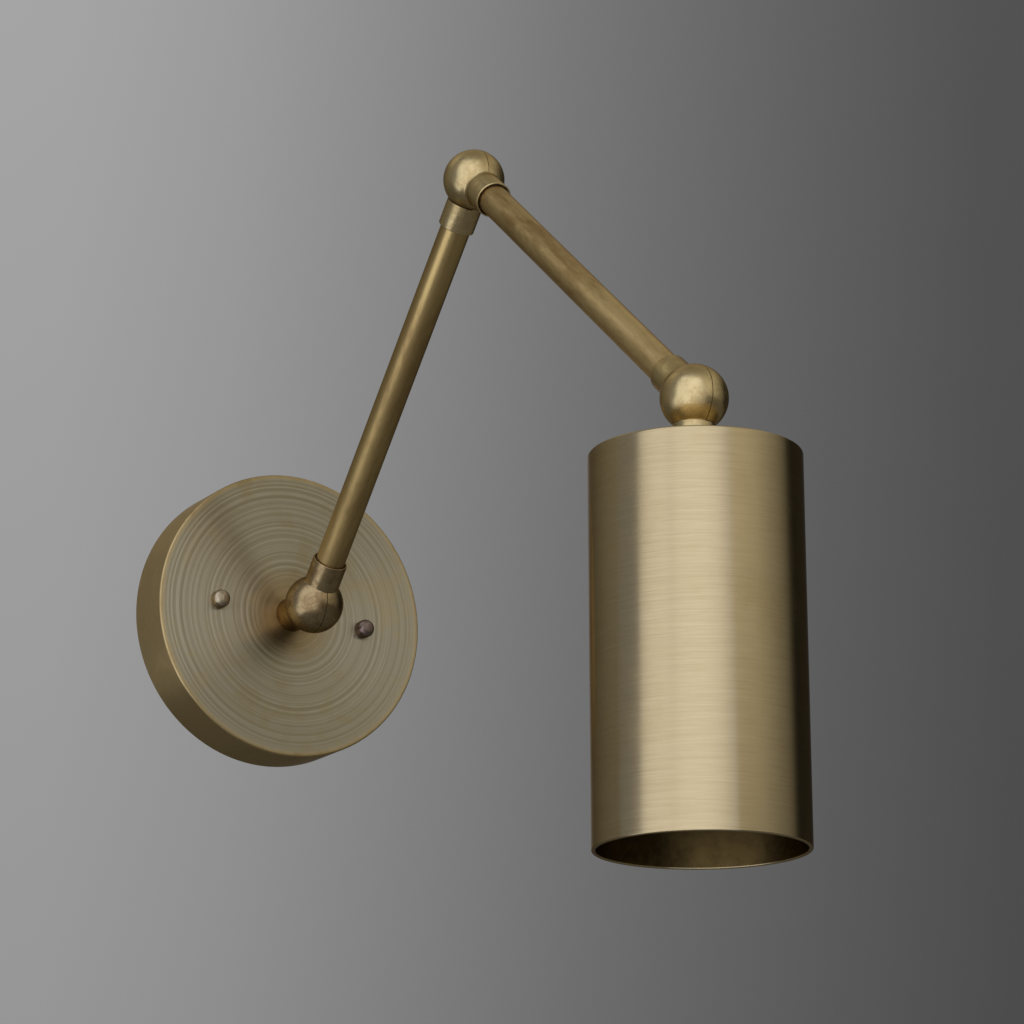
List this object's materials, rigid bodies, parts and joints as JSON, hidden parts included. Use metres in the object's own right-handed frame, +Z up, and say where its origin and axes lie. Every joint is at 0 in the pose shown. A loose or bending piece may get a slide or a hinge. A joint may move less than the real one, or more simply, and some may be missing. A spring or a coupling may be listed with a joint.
{
  "type": "articulating wall lamp",
  "caption": "Wall lamp with a round canopy, ball swivels, jointed arms and a cylindrical shade that opens downwards, in aged brass.",
  "frame": {"origin": "centre of the canopy's back, on the wall, midway between the box screws' slots", "axes": "+Z up, -Y straight out of the wall, +X to the right of someone who faces the wall; the arms swing in the plane x = 0"},
  "size_m": [0.127, 0.3917, 0.319],
  "materials": {
    "canopy_brass": "aged brass, turned face with fine rings, satin side",
    "swivel_brass": "aged brass, smooth satin",
    "arm_brass": "aged brass, mottled patina",
    "shade_brass": "aged brass, brushed round the shade",
    "cap_nut_brass": "aged brass, turned",
    "holder_brass": "bright brass, drawn",
    "screw_shell_brass": "bright brass",
    "tinned_brass": "tinned",
    "zinc_steel": "zinc plated",
    "blackened_steel": "blackened",
    "ground_green": "green dyed",
    "ground_insulation": "green insulation",
    "wire_insulation": "black insulation",
    "neutral_insulation": "white insulation",
    "connector_plastic": "moulded",
    "red_fibre": "vulcanised fibre",
    "liner_card": "pressed card",
    "core_porcelain": "unglazed porcelain"
  },
  "bodies": {
    "wall_plate": {"canopy": "canopy_brass", "box_bar": "zinc_steel", "fixture_bar": "zinc_steel", "bar_eyelet": "zinc_steel", "canopy_studs": "zinc_steel", "stud_lock_nuts": "zinc_steel", "canopy_cap_nuts": "cap_nut_brass", "canopy_nipple": "zinc_steel", "canopy_nipple_washer": "zinc_steel", "canopy_nipple_nut": "zinc_steel", "base_swivel_plate_half": "swivel_brass", "ground_screw": "ground_green", "ground_eye": "tinned_brass", "ground_lead": "ground_insulation", "live_lead": "wire_insulation", "neutral_lead": "neutral_insulation", "wire_connectors": "connector_plastic"},
    "lower_arm": {"base_swivel_arm_half": "swivel_brass", "base_swivel_screw": "blackened_steel", "base_swivel_spring_washer": "blackened_steel", "base_swivel_friction_ring": "red_fibre", "base_swivel_wires": "wire_insulation", "lower_arm_tube": "arm_brass", "lower_arm_pipe": "zinc_steel", "lower_arm_wires": "wire_insulation", "elbow_swivel_lower_half": "swivel_brass"},
    "upper_arm": {"elbow_swivel_upper_half": "swivel_brass", "elbow_swivel_screw": "blackened_steel", "elbow_swivel_spring_washer": "blackened_steel", "elbow_swivel_friction_ring": "red_fibre", "elbow_swivel_wires": "wire_insulation", "upper_arm_tube": "arm_brass", "upper_arm_pipe": "zinc_steel", "upper_arm_wires": "wire_insulation", "shade_swivel_arm_half": "swivel_brass"},
    "lamp_head": {"shade_swivel_shade_half": "swivel_brass", "shade_swivel_screw": "blackened_steel", "shade_swivel_spring_washer": "blackened_steel", "shade_swivel_friction_ring": "red_fibre", "shade_swivel_wires": "wire_insulation", "shade": "shade_brass", "shade_nipple": "zinc_steel", "shade_washer": "zinc_steel", "shade_nut": "zinc_steel", "lampholder_cap": "holder_brass", "lampholder_shell": "holder_brass", "lampholder_liner": "liner_card", "lampholder_core": "core_porcelain", "terminal_screws": "tinned_brass", "screw_shell": "screw_shell_brass", "centre_contact": "tinned_brass", "lampholder_wires": "wire_insulation"}
  },
  "joints": [
    {"name": "base_swivel", "type": "hinge", "parent": "wall_plate", "child": "lower_arm", "pos_m": [0, -0.047, 0], "axis": [-1, 0, 0], "range_deg": [-136.5, 43.5], "deforming": ["base_swivel_wires"]},
    {"name": "elbow_swivel", "type": "hinge", "parent": "lower_arm", "child": "upper_arm", "pos_m": [0, -0.1888, 0.14943], "axis": [-1, 0, 0], "range_deg": [-17, 190], "deforming": ["elbow_swivel_wires"]},
    {"name": "shade_swivel", "type": "hinge", "parent": "upper_arm", "child": "lamp_head", "pos_m": [0, -0.35253, 0.01008], "axis": [-1, 0, 0], "range_deg": [-54, 153], "deforming": ["shade_swivel_wires"]}
  ]
}
